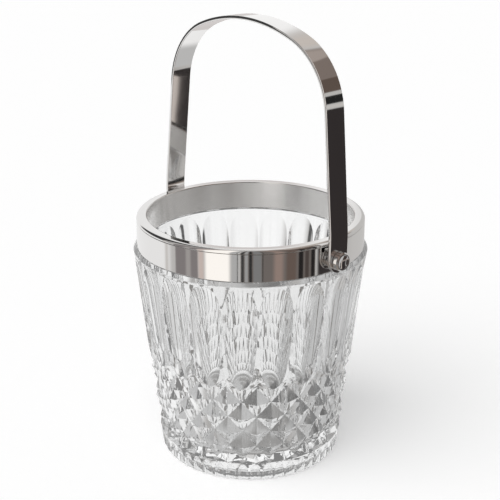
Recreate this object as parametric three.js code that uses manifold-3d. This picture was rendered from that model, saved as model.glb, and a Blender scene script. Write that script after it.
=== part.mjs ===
import * as THREE from 'three';
import { mergeVertices } from 'three/addons/utils/BufferGeometryUtils.js';
import Module from 'manifold-3d';

// Ice bucket: a cut-glass body under a plated collar, with a flat bail on two turned knobs.
// Millimetres, +Z up. The origin is the centre of the flat ring that the foot stands on.
// The pivot line of the bail runs along X.

const wasm = await Module();
wasm.setup();

// Clearance between pieces that lie against each other
const gap = 0.3;

// The collar's radius and the height it sits at carry all that meets the collar
const collarRadius = 100.0;
const seatHeight = 194.4;

// Collar: an upright band, and a rim that turns over the glass and down inside it
const bandHeight = 24.0;
const bandThickness = 1.4;
const bandEdgeChamfer = 0.4;
const rimHeight = 3.6;
const rimThickness = 1.4;
const rimOuterRound = 3.2;
const rimInnerRound = 1.2;
const linerThickness = 1.0;
const linerLift = 2.1;
const seamHeight = seatHeight + bandHeight;
const collarTop = seamHeight + rimHeight;
const linerBottom = seatHeight + linerLift;

// Glass, top: a neck inside the collar, a ledge under it and a shoulder that stands proud of it
const beddingThickness = 1.2;
const neckThickness = 4.8;
const shoulderStep = 3.2;
const shoulderFall = 2.0;
const shoulderRound = 1.2;
const ledgeStep = 0.4;
const neckRadius = collarRadius - bandThickness - beddingThickness - 2 * gap;
const mouthRadius = neckRadius - neckThickness;
const linerRadius = mouthRadius - gap - linerThickness;
const shoulderRadius = collarRadius + shoulderStep;
const shoulderHeight = seatHeight - shoulderFall;
const ledgeRadius = collarRadius + ledgeStep;

// Glass, foot: a plain band that goes on with the cone, a rounded lower corner, a hollow underside
const footBandTop = 18.8;
const footRound = 4.5;
const footInset = 0.4;
const standWidth = 19.6;
const hollowEdge = 4.0;
const hollowDepth = 2.5;
const lowestRowLift = 0.7;
const lowestRowHeight = footBandTop + lowestRowLift;

// Glass, outside: a cone from the shoulder down to the lowest row of diamonds
const bodyTaper = THREE.MathUtils.degToRad(6.406);
const lowestRowRadius = shoulderRadius - (shoulderHeight - lowestRowHeight) * Math.tan(bodyTaper);
const footTopRadius = lowestRowRadius - lowestRowLift * Math.tan(bodyTaper) - footInset;
const footRadius = footTopRadius - (footBandTop - footRound) * Math.tan(bodyTaper);
const standInnerRadius = footRadius - standWidth;
const hollowRadius = standInnerRadius - hollowEdge;

// Glass, inside: a cone with a round corner at the floor
const floorHeight = 17.0;
const floorCornerRadius = 14.0;
const floorWallThickness = 11.8;
const mouthConeLift = 0.6;
const floorWallRadius = lowestRowRadius - floorWallThickness;
const mouthConeHeight = seatHeight + mouthConeLift;

// Cut pattern: one repeat is a flute above a column of diamonds
const repeats = 21;
const patternTurn = THREE.MathUtils.degToRad(-4.3);
const diamondRows = 5;
const rowStep = 14.8;
const diamondDepth = 5.5;
const runOutRise = 10.0;
const topRowHeight = lowestRowHeight + diamondRows * rowStep;

// Flutes: long hollows, rounded at the top and tapering to the bottom
const fluteDepth = 5.0;
const fluteTopMargin = 3.0;
const fluteFootMargin = 1.1;
const fluteWidestShare = 0.5475;
const fluteTopPower = 4.5;
const fluteFootPower = 7.5;
const fluteTaperPower = 1.3;
const fluteWidthShare = 0.97;
const fluteFootShare = 0.64;
const fluteTop = shoulderHeight - fluteTopMargin;
const fluteBottom = topRowHeight + fluteFootMargin;
const fluteWidest = fluteBottom + fluteWidestShare * (fluteTop - fluteBottom);

// Foot cuts: small arches all round the band, set out by themselves
const archCount = 48;
const archTurn = THREE.MathUtils.degToRad(-1.6);
const archDepth = 2.2;
const archMargin = 1.2;
const archPower = 4;
const archWidthShare = 0.88;
const archHeight = footBandTop - archMargin;

// Pivots: a boss, a pin and a knob on each side
const pivotLift = 11.6;
const bossLength = 3.4;
const bossRadius = 7.6;
const bossChamfer = 0.6;
const pinRadius = 2.4;
const pinChamfer = 0.4;
const knobRadius = 8.0;
const knobLength = 5.4;
const knobBevel = 1.2;
const knobFaceRing = 0.9;
const knobDishDepth = 1.1;
const knobWeb = 1.2;
const pivotHeight = seatHeight + pivotLift;

// Bail: a flat strip, upright at the pivots, leaning in above them, and arched over the mouth.
// At rest it stands a little off upright, as a bail held by its knobs does.
const bailThickness = 3.0;
const bailWidth = 20.4;
const bailEdgeChamfer = 0.35;
const tabHeight = 16.0;
const tabBendRadius = 120.0;
const legLean = THREE.MathUtils.degToRad(5.5);
const legLength = 94.0;
const archShoulderRadius = 65.0;
const archCrownRadius = 155.0;
const bailRestLean = THREE.MathUtils.degToRad(0.8);
const bailOuterReach = collarRadius + gap + bossLength + gap + bailThickness;

// Fineness of the curved surfaces
const bodySteps = 4 * repeats;
const collarSteps = 56;
const turnedSteps = 18;
const fluteColumnShares = [-1.08, -0.95, -0.65, -0.25, 0.25, 0.65, 0.95, 1.08];
const fluteUpShares = [0, 0.5, 0.74, 0.87, 0.95, 1.02];
const fluteDownShares = [1.015, 0.95, 0.87, 0.72, 0.42];
const archColumnShares = [-1.1, -0.75, 0, 0.75, 1.1];
const archRowShares = [-0.1, 0.65, 0.88, 1.04];

// Materials
const glassLook = { color: 0xf4f7f7, roughness: 0.03, metalness: 0, transparent: true, opacity: 0.35 };
const plateLook = { color: 0xc9c7c6, roughness: 0.07, metalness: 1 };
const pinLook = { color: 0xa9a8a6, roughness: 0.3, metalness: 1 };
const beddingLook = { color: 0xd9d5cc, roughness: 0.9, metalness: 0 };

const halfPitch = Math.PI / repeats;

function toSolid(geometry) {
  const bare = geometry.clone();
  bare.deleteAttribute('normal');
  bare.deleteAttribute('uv');
  const merged = mergeVertices(bare);
  return new wasm.Manifold(new wasm.Mesh({
    numProp: 3,
    vertProperties: Float32Array.from(merged.attributes.position.array),
    triVerts: Uint32Array.from(merged.index.array),
  }));
}

function fromSolid(solid) {
  const { vertProperties, triVerts } = solid.getMesh();
  const geometry = new THREE.BufferGeometry();
  geometry.setAttribute('position', new THREE.BufferAttribute(Float32Array.from(vertProperties), 3));
  geometry.setIndex(Array.from(triVerts));
  const loose = geometry.toNonIndexed();
  loose.computeVertexNormals();
  return loose;
}

function fromPoints(points, faces) {
  const geometry = new THREE.BufferGeometry();
  const flat = points.flatMap((p) => [p.x, p.y, p.z]);
  geometry.setAttribute('position', new THREE.Float32BufferAttribute(flat, 3));
  geometry.setIndex(faces.flat());
  return geometry;
}

function around(radius, angle, height) {
  return new THREE.Vector3(radius * Math.cos(angle), radius * Math.sin(angle), height);
}

// A quarter turn or less, as [radius, height] pairs about a centre
function cornerArc(centreRadius, centreHeight, size, from, to, steps) {
  return Array.from({ length: steps + 1 }, (_, i) => {
    const angle = from + (to - from) * (i / steps);
    return [centreRadius + size * Math.cos(angle), centreHeight + size * Math.sin(angle)];
  });
}

// A turned piece about +Z, from an outline of [radius, height] pairs
function turned(outline, steps) {
  const points = outline.map(([radius, height]) => new THREE.Vector2(radius, height));
  const geometry = new THREE.LatheGeometry(points, steps);
  geometry.rotateX(Math.PI / 2);
  return geometry;
}

// A turned piece about the pivot line: the outline's heights become distances along +X
function turnedAlongX(outline) {
  const geometry = turned(outline, turnedSteps);
  geometry.rotateY(Math.PI / 2);
  geometry.translate(0, 0, pivotHeight);
  return geometry;
}

function coneRadius(height) {
  return lowestRowRadius + Math.tan(bodyTaper) * (height - lowestRowHeight);
}

// One level of the glass blank: a height, and a radius for each of its points
function ring(count, height, radiusOf) {
  return Array.from({ length: count }, (_, i) => {
    return around(radiusOf(i), patternTurn + (i / count) * 2 * Math.PI, height);
  });
}

// Rings at the levels of the diamonds. Points of the pyramids and crossings of the
// grooves alternate, and change places from one level to the next.
function diamondRings() {
  return Array.from({ length: diamondRows + 1 }, (_, row) => {
    const height = lowestRowHeight + row * rowStep;
    return ring(2 * repeats, height, (i) => coneRadius(height) - ((i + row) % 2 ? diamondDepth : 0));
  });
}

// Above the top crossings the grooves run out, under the spear that stands between two flutes
function runOutRing() {
  const height = topRowHeight + runOutRise;
  return ring(2 * repeats, height, () => coneRadius(height));
}

function reach(point) {
  return Math.hypot(point.x, point.y);
}

// Joins two rings. Each cell is split along its groove: between the two corners nearer the axis.
function joinRings(lower, upper, lowerStart, upperStart) {
  const faces = [];
  const [a, b] = [lower.length, upper.length];
  const count = Math.min(a, b);
  for (let i = 0; i < count; i += 1) {
    const next = (i + 1) % count;
    if (a === b) {
      const [p, q, r, s] = [lowerStart + i, lowerStart + next, upperStart + i, upperStart + next];
      const rising = reach(lower[i]) + reach(upper[next]);
      const falling = reach(lower[next]) + reach(upper[i]);
      if (rising < falling) faces.push([p, q, s], [p, s, r]);
      else faces.push([p, q, r], [q, s, r]);
    } else if (a < b) {
      const [p, q] = [lowerStart + i, lowerStart + next];
      const [r, m, s] = [upperStart + 2 * i, upperStart + 2 * i + 1, upperStart + (2 * next)];
      faces.push([p, m, r], [p, q, m], [q, s, m]);
    } else {
      const [r, s] = [upperStart + i, upperStart + next];
      const [p, m, q] = [lowerStart + 2 * i, lowerStart + 2 * i + 1, lowerStart + (2 * next)];
      faces.push([p, m, r], [m, s, r], [m, q, s]);
    }
  }
  return faces;
}

// A closed body through rings listed from the underside, up the outside and down the inside
function bodyOfRings(rings, first, last) {
  const points = [];
  const starts = rings.map((level) => {
    const start = points.length;
    points.push(...level);
    return start;
  });
  const faces = [];
  rings.slice(1).forEach((level, k) => {
    faces.push(...joinRings(rings[k], level, starts[k], starts[k + 1]));
  });
  const close = (centre, level, start, inward) => {
    const middle = points.length;
    points.push(centre);
    level.forEach((_, i) => {
      const [p, q] = [start + i, start + ((i + 1) % level.length)];
      faces.push(inward ? [middle, q, p] : [middle, p, q]);
    });
  };
  close(first, rings[0], starts[0], true);
  close(last, rings.at(-1), starts.at(-1), false);
  return fromPoints(points, faces);
}

// The glass before the flutes and the foot cuts are ground into it
function glassBlank() {
  const plain = ([radius, height]) => ring(bodySteps, height, () => radius);
  const coarse = ([radius, height]) => ring(bodySteps / 2, height, () => radius);
  const foot = [
    [hollowRadius, hollowDepth],
    [standInnerRadius, 0],
    ...cornerArc(footRadius - footRound, footRound, footRound, -Math.PI / 2, 0, 2),
    [footTopRadius, footBandTop],
  ];
  const cornerHub = [shoulderRadius - shoulderRound, shoulderHeight - shoulderRound];
  const shoulderCorner = cornerArc(...cornerHub, shoulderRound, 0, Math.PI / 3, 1);
  const shoulder = [
    [coneRadius(fluteTop), fluteTop],
    ...shoulderCorner,
    [ledgeRadius, seatHeight],
    [neckRadius, seatHeight],
  ];
  const neckTop = collarTop - rimThickness - gap;
  const innerRadius = floorWallRadius - floorCornerRadius;
  const mouth = [[neckRadius, neckTop], [mouthRadius, neckTop], [mouthRadius, mouthConeHeight]];
  const cornerHeight = floorHeight + floorCornerRadius;
  const bowl = cornerArc(innerRadius, cornerHeight, floorCornerRadius, 0, -Math.PI / 2, 4);
  const outside = [...foot.map(plain), ...diamondRings(), runOutRing(), ...shoulder.map(plain)];
  const rings = [...outside, ...mouth.map(plain), ...bowl.map(coarse)];
  return bodyOfRings(rings, around(0, 0, hollowDepth), around(0, 0, floorHeight));
}

// The body of glass that a cut takes away: under it the cut surface, a grid of depths below
// the cone; over it a face clear of the glass
function cutter(angles, heights, radiusAt, outerRadius) {
  const grid = heights.flatMap((height) => angles.map((angle) => [angle, height]));
  const points = [
    ...grid.map(([angle, height]) => around(radiusAt(angle, height), angle, height)),
    ...grid.map(([angle, height]) => around(outerRadius, angle, height)),
  ];
  const skin = grid.length;
  const [columns, rows] = [angles.length, heights.length];
  const at = (row, column) => row * columns + column;
  const faces = [];
  for (let row = 0; row < rows - 1; row += 1) {
    for (let column = 0; column < columns - 1; column += 1) {
      const [p, q] = [at(row, column), at(row, column + 1)];
      const [r, s] = [at(row + 1, column), at(row + 1, column + 1)];
      faces.push([p, s, q], [p, r, s], [skin + p, skin + q, skin + s], [skin + p, skin + s, skin + r]);
    }
  }
  const wall = (p, q) => faces.push([p, q, skin + q], [p, skin + q, skin + p]);
  for (let column = 0; column < columns - 1; column += 1) {
    wall(at(0, column), at(0, column + 1));
    wall(at(rows - 1, column + 1), at(rows - 1, column));
  }
  for (let row = 0; row < rows - 1; row += 1) {
    wall(at(row + 1, 0), at(row, 0));
    wall(at(row, columns - 1), at(row + 1, columns - 1));
  }
  return toSolid(fromPoints(points, faces));
}

// Depth of a flute: greatest on its middle line, none on its outline
function fluteDepthAt(sideShare, height) {
  const upper = height > fluteWidest;
  const run = upper ? fluteTop - fluteWidest : fluteWidest - fluteBottom;
  const along = Math.abs(height - fluteWidest) / run;
  const taper = upper ? 0 : (fluteWidthShare - fluteFootShare) * along ** fluteTaperPower;
  const end = along ** (upper ? fluteTopPower : fluteFootPower);
  return fluteDepth * (1 - (sideShare / (fluteWidthShare - taper)) ** 2 - end);
}

function fluteCutter(index) {
  const centre = patternTurn + (2 * index + 1) * halfPitch;
  const angles = fluteColumnShares.map((share) => centre + share * halfPitch);
  const heights = [
    ...fluteDownShares.map((share) => fluteWidest - share * (fluteWidest - fluteBottom)),
    ...fluteUpShares.map((share) => fluteWidest + share * (fluteTop - fluteWidest)),
  ];
  const radiusAt = (angle, height) => coneRadius(height) - fluteDepthAt((angle - centre) / halfPitch, height);
  return cutter(angles, heights, radiusAt, shoulderRadius + fluteDepth);
}

function archCutter(index) {
  const halfArch = Math.PI / archCount;
  const centre = archTurn + 2 * index * halfArch;
  const angles = archColumnShares.map((share) => centre + share * archWidthShare * halfArch);
  const heights = archRowShares.map((share) => share * archHeight);
  const radiusAt = (angle, height) => {
    const side = (angle - centre) / (archWidthShare * halfArch);
    const depth = archDepth * (1 - side ** 2 - Math.abs(height / archHeight) ** archPower);
    return footRadius + Math.tan(bodyTaper) * (height - footRound) - depth;
  };
  return cutter(angles, heights, radiusAt, footTopRadius + 2 * archDepth);
}

function glassVessel() {
  const flutes = Array.from({ length: repeats }, (_, i) => fluteCutter(i));
  const arches = Array.from({ length: archCount }, (_, i) => archCutter(i));
  const cut = [...flutes, ...arches].reduce((body, tool) => body.subtract(tool), toSolid(glassBlank()));
  return fromSolid(cut);
}

function collarBand() {
  const inner = collarRadius - bandThickness;
  const bottom = seatHeight + gap;
  const outline = [
    [inner, bottom],
    [collarRadius - bandEdgeChamfer, bottom],
    [collarRadius, bottom + bandEdgeChamfer],
    [collarRadius, seamHeight],
    [inner, seamHeight],
    [inner, bottom],
  ];
  return turned(outline, collarSteps);
}

function collarRim() {
  const bottom = seamHeight + gap;
  const inner = collarRadius - bandThickness;
  const upward = Math.PI / 2;
  const outline = [
    [inner, bottom],
    ...cornerArc(collarRadius - rimOuterRound, collarTop - rimOuterRound, rimOuterRound, 0, upward, 3),
    ...cornerArc(linerRadius + rimInnerRound, collarTop - rimInnerRound, rimInnerRound, upward, Math.PI, 2),
    [linerRadius, linerBottom],
    [linerRadius + linerThickness, linerBottom],
    [linerRadius + linerThickness, collarTop - rimThickness],
    [inner, collarTop - rimThickness],
    [inner, bottom],
  ];
  return turned(outline, collarSteps);
}

function beddingRing() {
  const inner = neckRadius + gap;
  const outer = collarRadius - bandThickness - gap;
  const bottom = seatHeight + gap;
  const top = collarTop - rimThickness - gap;
  const outline = [[inner, bottom], [outer, bottom], [outer, top], [inner, top], [inner, bottom]];
  return turned(outline, collarSteps);
}

// Centre line of the bail's outer face, right half, as [x, height] pairs from the pivot to the crown
function bailHalfPath() {
  const bendStart = pivotHeight + tabHeight;
  const bendX = bailOuterReach - tabBendRadius;
  const bend = cornerArc(bendX, bendStart, tabBendRadius, 0, legLean, 2);
  const [legX, legStart] = bend.at(-1);
  const topX = legX - legLength * Math.sin(legLean);
  const topHeight = legStart + legLength * Math.cos(legLean);
  const hubX = topX - archShoulderRadius * Math.cos(legLean);
  const hubHeight = topHeight - archShoulderRadius * Math.sin(legLean);
  const crownHalfAngle = Math.asin(hubX / (archCrownRadius - archShoulderRadius));
  const crownTurn = Math.PI / 2 - crownHalfAngle;
  const crownHub = hubHeight - (archCrownRadius - archShoulderRadius) * Math.cos(crownHalfAngle);
  return [
    [bailOuterReach, pivotHeight],
    ...bend,
    ...cornerArc(hubX, hubHeight, archShoulderRadius, legLean, crownTurn, 9),
    ...cornerArc(0, crownHub, archCrownRadius, crownTurn, Math.PI / 2, 3).slice(1),
  ];
}

// Where the strip's outer face runs and which way it faces, at each point of its whole length
function bailStations() {
  const half = bailHalfPath();
  const whole = [...half, ...half.slice(0, -1).reverse().map(([x, height]) => [-x, height])];
  return whole.map(([x, height], i) => {
    const before = new THREE.Vector2(...whole[Math.max(i - 1, 0)]);
    const after = new THREE.Vector2(...whole[Math.min(i + 1, whole.length - 1)]);
    const here = new THREE.Vector2(x, height);
    const into = here.clone().sub(before).normalize();
    const out = after.sub(here).normalize();
    const along = into.add(out).normalize();
    const ends = i === 0 || i === whole.length - 1;
    const facing = ends ? new THREE.Vector2(Math.sign(x), 0) : new THREE.Vector2(along.y, -along.x);
    return { here, facing };
  });
}

// The strip's section: [depth below the outer face, distance to the side]
function stripSection() {
  const [side, edge, depth] = [bailWidth / 2, bailEdgeChamfer, bailThickness];
  const quarter = [[edge, side], [0, side - edge]];
  const outer = [...quarter, ...quarter.map(([d, s]) => [d, -s]).reverse()];
  return [...outer, ...outer.map(([d, s]) => [depth - d, s]).reverse()];
}

function bailStrip() {
  const section = stripSection();
  const stations = bailStations();
  const points = stations.flatMap(({ here, facing }) => section.map(([depth, side]) => {
    return new THREE.Vector3(here.x - depth * facing.x, side, here.y - depth * facing.y);
  }));
  const count = section.length;
  const faces = [];
  stations.slice(1).forEach((_, k) => section.forEach((__, i) => {
    const next = (i + 1) % count;
    const [p, q, r, s] = [k * count + i, k * count + next, (k + 1) * count + i, (k + 1) * count + next];
    faces.push([p, s, q], [p, r, s]);
  }));
  const lastStart = (stations.length - 1) * count;
  for (let i = 1; i < count - 1; i += 1) {
    faces.push([0, i, i + 1], [lastStart, lastStart + i + 1, lastStart + i]);
  }
  return toSolid(fromPoints(points, faces));
}

// The round end of the strip about its pivot
function bailTab() {
  const [radius, edge] = [bailWidth / 2, bailEdgeChamfer];
  const [inner, outer] = [bailOuterReach - bailThickness, bailOuterReach];
  return turnedAlongX([
    [0, inner], [radius - edge, inner], [radius, inner + edge],
    [radius, outer - edge], [radius - edge, outer], [0, outer],
  ]);
}

function pinHole() {
  const radius = pinRadius + gap;
  const [inner, outer] = [bailOuterReach - 2 * bailThickness, bailOuterReach + bailThickness];
  return toSolid(turnedAlongX([[0, inner], [radius, inner], [radius, outer], [0, outer]]));
}

function bailHandle() {
  const mirrorSide = (solid) => solid.mirror([1, 0, 0]);
  const [tab, hole] = [toSolid(bailTab()), pinHole()];
  const whole = bailStrip().add(tab).add(mirrorSide(tab)).subtract(hole).subtract(mirrorSide(hole));
  const geometry = fromSolid(whole);
  geometry.translate(0, 0, -pivotHeight);
  geometry.rotateX(-bailRestLean);
  geometry.translate(0, 0, pivotHeight);
  return geometry;
}

// A short boss whose back is hollowed to the band's curve
function pivotBoss() {
  const outer = bailOuterReach - bailThickness - gap;
  const inner = collarRadius - bandThickness;
  const bore = pinRadius + gap;
  const blank = toSolid(turnedAlongX([
    [bore, inner], [bossRadius, inner], [bossRadius, outer - bossChamfer],
    [bossRadius - bossChamfer, outer], [bore, outer], [bore, inner],
  ]));
  const [low, high] = [pivotHeight - bailWidth, pivotHeight + bailWidth];
  const clear = collarRadius + gap;
  const band = toSolid(turned([[0, low], [clear, low], [clear, high], [0, high]], collarSteps));
  return fromSolid(blank.subtract(band));
}

function pivotPin() {
  const start = collarRadius + 2 * gap;
  const end = bailOuterReach + knobLength - knobDishDepth - knobWeb;
  return turnedAlongX([
    [0, start], [pinRadius - pinChamfer, start], [pinRadius, start + pinChamfer],
    [pinRadius, end - pinChamfer], [pinRadius - pinChamfer, end], [0, end],
  ]);
}

function pivotKnob() {
  const [base, face] = [bailOuterReach + gap, bailOuterReach + gap + knobLength];
  const bore = pinRadius + gap;
  const boreEnd = face - knobDishDepth - knobWeb;
  const ringRadius = knobRadius - knobBevel;
  const dishRadius = ringRadius - knobFaceRing;
  const dishShares = [1, 0.7, 0.35, 0];
  return turnedAlongX([
    [0, boreEnd], [bore, boreEnd], [bore, base], [knobRadius, base],
    [knobRadius, face - knobBevel], [ringRadius, face],
    ...dishShares.map((share) => [share * dishRadius, face - knobDishDepth * (1 - share ** 2)]),
  ]);
}

const bucket = new THREE.Group();
bucket.name = 'ice_bucket';

function addPiece(name, geometry, look) {
  const mesh = new THREE.Mesh(geometry, new THREE.MeshStandardMaterial(look));
  mesh.name = name;
  bucket.add(mesh);
  return mesh;
}

// The left-hand piece is the right-hand one turned half round the bucket's axis
function addPair(name, geometry, look) {
  addPiece(`${name}_right`, geometry, look);
  addPiece(`${name}_left`, geometry.clone().rotateZ(Math.PI), look);
}

addPiece('glass_vessel', glassVessel(), glassLook);
addPiece('bedding_ring', beddingRing(), beddingLook);
addPiece('collar_band', collarBand(), plateLook);
addPiece('collar_rim', collarRim(), plateLook);
addPair('pivot_boss', pivotBoss(), plateLook);
addPair('pivot_pin', pivotPin(), pinLook);
addPair('pivot_knob', pivotKnob(), plateLook);
addPiece('bail_handle', bailHandle(), plateLook);

export default bucket;
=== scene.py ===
# %% [markdown]
# # An ice bucket in cut glass and polished metal
# The bucket has a thick body of clear cut glass, a polished collar round its mouth, and a flat
# metal bail that swings on two turned knobs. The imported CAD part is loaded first. It is the frame:
# every surface made below stands in the same place as the CAD solid that it stands for.

import math

import bpy
import numpy as np
from mathutils import Matrix, Vector


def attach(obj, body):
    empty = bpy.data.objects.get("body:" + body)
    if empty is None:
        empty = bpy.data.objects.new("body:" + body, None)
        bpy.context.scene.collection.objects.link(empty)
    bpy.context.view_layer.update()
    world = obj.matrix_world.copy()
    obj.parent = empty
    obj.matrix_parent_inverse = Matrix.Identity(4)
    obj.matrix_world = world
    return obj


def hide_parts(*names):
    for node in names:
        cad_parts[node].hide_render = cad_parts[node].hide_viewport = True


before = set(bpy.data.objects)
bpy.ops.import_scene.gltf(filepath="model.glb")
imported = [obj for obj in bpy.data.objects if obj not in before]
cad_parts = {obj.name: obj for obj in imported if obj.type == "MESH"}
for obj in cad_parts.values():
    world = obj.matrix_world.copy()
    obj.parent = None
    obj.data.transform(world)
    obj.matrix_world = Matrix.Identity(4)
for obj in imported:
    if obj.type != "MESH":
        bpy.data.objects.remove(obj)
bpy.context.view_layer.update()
MM = 0.001
print("CAD nodes:", sorted(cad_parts))

# %% [markdown]
# ## Turning arrays into a mesh
# Each piece is a surface worked out as whole arrays of points. Blender's own cylinders and bevels
# would be quicker to place, but only a formula puts every edge of the cuts where it belongs. A
# surface of rows and columns becomes triangles between neighbours. Points that fall together, as at
# a pole or where a cut runs out, are welded, and the faces that this leaves without area are dropped.


# %% Helpers for meshes
def grid_faces(rows, columns):
    """Triangles between neighbouring points of a grid whose last column joins its first."""
    across = np.arange(columns)
    low = np.arange(rows - 1)[:, None] * columns
    a, b = low + across, low + (across + 1) % columns
    c, d = b + columns, a + columns
    halves = [np.stack([a, b, c], -1), np.stack([a, c, d], -1)]
    return np.concatenate([half.reshape(-1, 3) for half in halves])


def weld(points, faces, size=1e-6):
    """Points that round to the same multiple of size become one. Faces that lose a side are dropped."""
    keys = np.round(points / size).astype(np.int64)
    _, first, place = np.unique(keys, axis=0, return_index=True, return_inverse=True)
    faces = place.reshape(-1)[faces]
    real = (faces[:, 0] != faces[:, 1]) & (faces[:, 1] != faces[:, 2]) & (faces[:, 2] != faces[:, 0])
    return points[first], faces[real]


def add_mesh(name, points, faces, sharp_degrees=30):
    """A mesh object at the origin, with its place in its points. It is smooth but for its sharp edges."""
    mesh = bpy.data.meshes.new(name)
    mesh.from_pydata(points.tolist(), [], faces.tolist())
    mesh.validate()
    mesh.shade_smooth()
    mesh.set_sharp_from_angle(angle=math.radians(sharp_degrees))
    piece = bpy.data.objects.new(name, mesh)
    bpy.context.scene.collection.objects.link(piece)
    return piece


print("a ring between two rows of 12 points:", len(grid_faces(2, 12)), "triangles")

# %% [markdown]
# ## Profiles
# Much of the bucket is turned, as on a lathe: a profile is carried round an axis. A Screw modifier
# would do that too, but as an array the profile can be measured and bent further. A profile is arcs
# and single points joined to one line. Smooth shading spreads the turn of a small round over the
# flats beside it, which a mirror shows as a wrong tone. So each long flat gets a point close to both
# of its ends, and the turn stays on the round.


# %% Helpers for profiles
def lathe(profile, steps):
    """A profile of (radius, height) pairs turned once round +Z: x = r cos t, y = r sin t, z = h."""
    angle = np.linspace(0, 2 * np.pi, steps, endpoint=False)
    radius, height = np.asarray(profile, float).T[:, :, None]
    points = np.stack([radius * np.cos(angle), radius * np.sin(angle), height + 0 * angle], -1)
    return points.reshape(-1, 3), grid_faces(len(radius), steps)


def arc(centre, size, start, stop, steps):
    """Points on a circle from start to stop, in degrees, as (radius, height) pairs."""
    angle = np.radians(np.linspace(start, stop, steps + 1))
    return np.stack([centre[0] + size * np.cos(angle), centre[1] + size * np.sin(angle)], -1)


def outline(*pieces):
    """Arcs and single points joined to one profile."""
    return np.concatenate([np.atleast_2d(np.asarray(piece, float)) for piece in pieces])


FLAT_HOLD, SHORTEST_FLAT = 0.12, 0.8


def hold_flats(profile):
    """A flat that is long enough gets two more points, each at the same short distance from one end."""
    held = [profile[0]]
    for start, stop in zip(profile[:-1], profile[1:]):
        step = stop - start
        run = np.linalg.norm(step)
        if run > SHORTEST_FLAT:
            held += [start + step * FLAT_HOLD / run, stop - step * FLAT_HOLD / run]
        held.append(stop)
    return np.array(held)


print("a quarter round of radius 1:", arc((0, 0), 1, 0, 90, 2).round(3).tolist())

# %% [markdown]
# ## The cut glass
# The glass is one closed body. Its outside is a cone with three cut patterns: 48 small arches
# round the foot, five bands of pointed diamonds, and 21 long flutes. A grinder cuts them with stone
# wheels, and Boolean cutters could copy that, but they leave thin, uneven faces that spoil the
# shading. Here every cut is a formula for how far it goes in below the cone, so the outside is a
# radius over angle and height. A plain grid would leave saw teeth along the edges of the cuts, so
# each row's columns move with the outline of the cut at that height, and the edges stay crisp.

# %% Sizes of the glass, in millimetres, as in the CAD source
SHOULDER_RADIUS, SHOULDER_HEIGHT, SHOULDER_ROUND = 103.19, 192.4, 1.2
LEDGE_RADIUS, SEAT_HEIGHT, NECK_RADIUS, NECK_TOP = 100.4, 194.4, 96.8, 220.3
LOWEST_RADIUS, LOWEST_HEIGHT = 83.79, 19.5
FOOT_TOP_RADIUS, FOOT_TOP, FOOT_RADIUS, FOOT_ROUND, STAND_RADIUS = 83.31, 18.8, 81.7, 4.5, 62.1
HOLLOW_RADIUS, HOLLOW_DEPTH = 58.0, 2.5
MOUTH_RADIUS, MOUTH_CONE = 92.0, 195.0
FLOOR_HEIGHT, FLOOR_CORNER, FLOOR_WALL = 17.0, 14.0, 72.0
REPEATS, PATTERN_TURN = 21, math.radians(-4.3)
ARCHES, ARCH_TURN = 48, math.radians(-1.6)
ROWS, ROW_STEP, DIAMOND_DEPTH, RUN_OUT = 5, 14.8, 5.5, 10.0
FLUTE_DEPTH, FLUTE_TOP, FLUTE_WIDEST, FLUTE_BOTTOM = 5.0, 189.4, 146.5, 94.6
FLUTE_TOP_POWER, FLUTE_FOOT_POWER, FLUTE_TAPER, FLUTE_WIDTH, FLUTE_FOOT = 4.5, 7.5, 1.3, 0.97, 0.64
ARCH_DEPTH, ARCH_HEIGHT, ARCH_POWER, ARCH_WIDTH = 2.2, 17.6, 4, 0.88
EDGE_SOFTNESS = 0.12
CELLS = 2 * REPEATS
HALF_PITCH, HALF_ARCH = math.pi / REPEATS, math.pi / ARCHES
TOP_ROW = LOWEST_HEIGHT + ROWS * ROW_STEP
print("cuts:", REPEATS, "flutes,", ROWS, "bands of diamonds,", ARCHES, "arches")


# %% Formulas of the cuts
def cone(height):
    """The uncut outside: a straight cone from the lowest row of diamonds to the shoulder."""
    slope = (SHOULDER_RADIUS - LOWEST_RADIUS) / (SHOULDER_HEIGHT - LOWEST_HEIGHT)
    return LOWEST_RADIUS + slope * (height - LOWEST_HEIGHT)


def soft_max(a, b):
    """The larger of two depths, rounded over where they meet."""
    return (a + b + np.sqrt((a - b) ** 2 + EDGE_SOFTNESS ** 2)) / 2


def flute_shape(height):
    """A flute's half width, as a share of the half pitch, and how much of its depth the end has used."""
    upper = height > FLUTE_WIDEST
    run = np.where(upper, FLUTE_TOP - FLUTE_WIDEST, FLUTE_WIDEST - FLUTE_BOTTOM)
    along = np.abs(height - FLUTE_WIDEST) / run
    width = np.where(upper, FLUTE_WIDTH, FLUTE_WIDTH - (FLUTE_WIDTH - FLUTE_FOOT) * along ** FLUTE_TAPER)
    return width, along ** np.where(upper, FLUTE_TOP_POWER, FLUTE_FOOT_POWER)


def flute_depth(side, height):
    """Deepest on the middle line, none on the outline: depth x (1 - (side / width)^2 - end)."""
    width, end = flute_shape(height)
    return FLUTE_DEPTH * (1 - (side / width) ** 2 - end)


def notch_depth(side, height):
    """Over the top crossings each groove runs out in a flat notch."""
    return DIAMOND_DEPTH * (side - (height - TOP_ROW) / RUN_OUT)


def arch_depth(side, height):
    """A foot arch: as a flute, with a blunter head and its lower end open at the foot."""
    return ARCH_DEPTH * (1 - (side / ARCH_WIDTH) ** 2 - (height / ARCH_HEIGHT) ** ARCH_POWER)


def foot_side(height):
    """The foot's own radius, as a cone down to the floor."""
    return FOOT_RADIUS + (FOOT_TOP_RADIUS - FOOT_RADIUS) * (height - FOOT_ROUND) / (FOOT_TOP - FOOT_ROUND)


def foot_band(height):
    """The same, rounded under at its lower corner."""
    below = np.clip(FOOT_ROUND - height, 0, FOOT_ROUND)
    return foot_side(np.maximum(height, FOOT_ROUND)) - FOOT_ROUND + np.sqrt(FOOT_ROUND ** 2 - below ** 2)


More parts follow.
